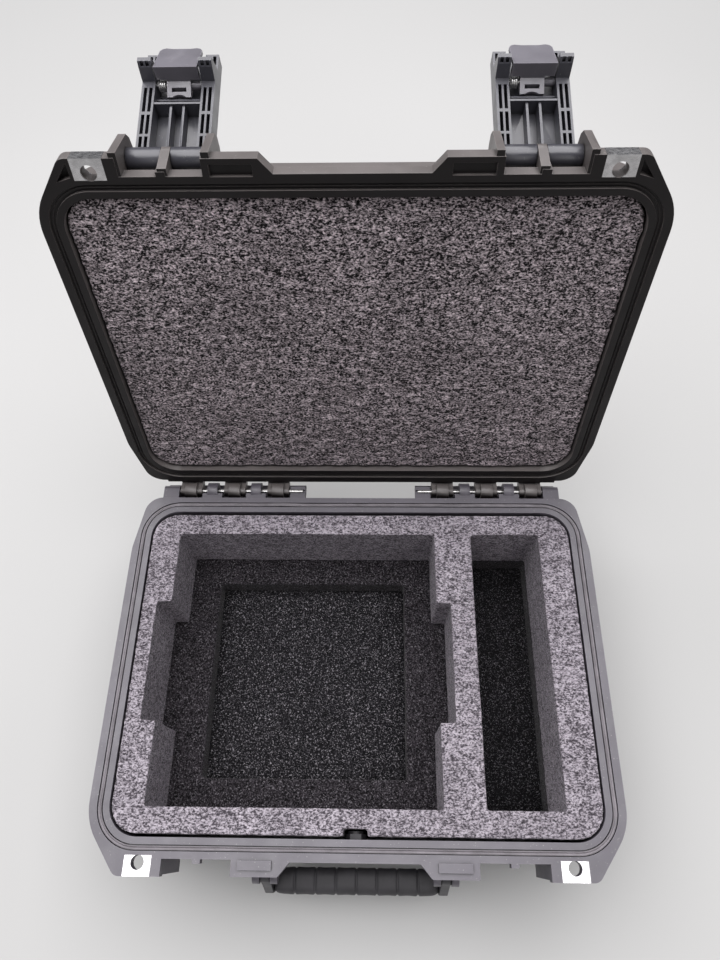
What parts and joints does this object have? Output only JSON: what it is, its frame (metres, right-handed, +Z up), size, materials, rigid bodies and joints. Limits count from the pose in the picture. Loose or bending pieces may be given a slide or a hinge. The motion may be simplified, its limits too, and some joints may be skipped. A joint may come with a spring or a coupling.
{
  "type": "hard equipment case",
  "caption": "Hinged hard-shell equipment case with custom-cut foam, trigger latches, folding handle, rim gasket, padlock plates and a vent valve.",
  "frame": {"origin": "centre of the case's underside, on the plane its low bars stand on", "axes": "+X right seen from the handle side, +Y towards the lid hinge, +Z up"},
  "size_m": [0.4166, 0.5248, 0.4381],
  "materials": {
    "shell": "fine moulded texture, satin",
    "latch": "smooth moulded satin",
    "hardware_plastic": "smooth moulded",
    "gasket": "smooth elastomer",
    "grip": "soft-touch matt",
    "foam": "closed-cell polyethylene foam with a cut, fibrous face",
    "steel": "drawn pin, semi-bright",
    "steel_plate": "bright stamped stainless"
  },
  "bodies": {
    "base": {"base_shell": "shell", "rim_gasket": "gasket", "foam_top_layer": "foam", "foam_middle_layer": "foam", "foam_base_pad": "foam", "valve_body": "hardware_plastic", "valve_nut": "hardware_plastic", "valve_seal": "gasket", "valve_cap": "hardware_plastic", "hinge_pin_left": "steel", "hinge_pin_right": "steel", "handle_pin_left": "steel", "handle_pin_right": "steel", "base_lock_plate_left": "steel_plate", "base_lock_plate_right": "steel_plate"},
    "lid": {"lid_shell": "shell", "lid_foam": "foam", "lid_lock_plate_left": "steel_plate", "lid_lock_plate_right": "steel_plate", "latch_pin_left": "steel", "latch_pin_right": "steel"},
    "handle": {"handle_frame": "shell", "handle_grip": "grip"},
    "latch_left": {"latch_body_left": "latch", "trigger_pin_left": "steel", "trigger_spring_left": "steel"},
    "trigger_left": {"trigger_left": "latch"},
    "latch_right": {"latch_body_right": "latch", "trigger_pin_right": "steel", "trigger_spring_right": "steel"},
    "trigger_right": {"trigger_right": "latch"}
  },
  "joints": [
    {"name": "lid_hinge", "type": "hinge", "parent": "base", "child": "lid", "pos_m": [0, 0.1606, 0.1164], "axis": [1, 0, 0], "range_deg": [0, 102]},
    {"name": "handle_pivot", "type": "hinge", "parent": "base", "child": "handle", "pos_m": [0, -0.16, 0.0945], "axis": [-1, 0, 0], "range_deg": [0, 95]},
    {"name": "latch_left_pivot", "type": "hinge", "parent": "lid", "child": "latch_left", "pos_m": [-0.1186, 0.2514, 0.41709], "axis": [1, 0, 0], "range_deg": [0, 156.6]},
    {"name": "trigger_left_pivot", "type": "hinge", "parent": "latch_left", "child": "trigger_left", "pos_m": [-0.1186, 0.32023, 0.41975], "axis": [1, 0, 0], "range_deg": [-12, 0], "stiffness_Nm_per_rad": 0.15, "springref_deg": 11.46},
    {"name": "latch_right_pivot", "type": "hinge", "parent": "lid", "child": "latch_right", "pos_m": [0.1186, 0.2514, 0.41709], "axis": [1, 0, 0], "range_deg": [0, 156.6]},
    {"name": "trigger_right_pivot", "type": "hinge", "parent": "latch_right", "child": "trigger_right", "pos_m": [0.1186, 0.32023, 0.41975], "axis": [1, 0, 0], "range_deg": [-12, 0], "stiffness_Nm_per_rad": 0.15, "springref_deg": 11.46}
  ]
}
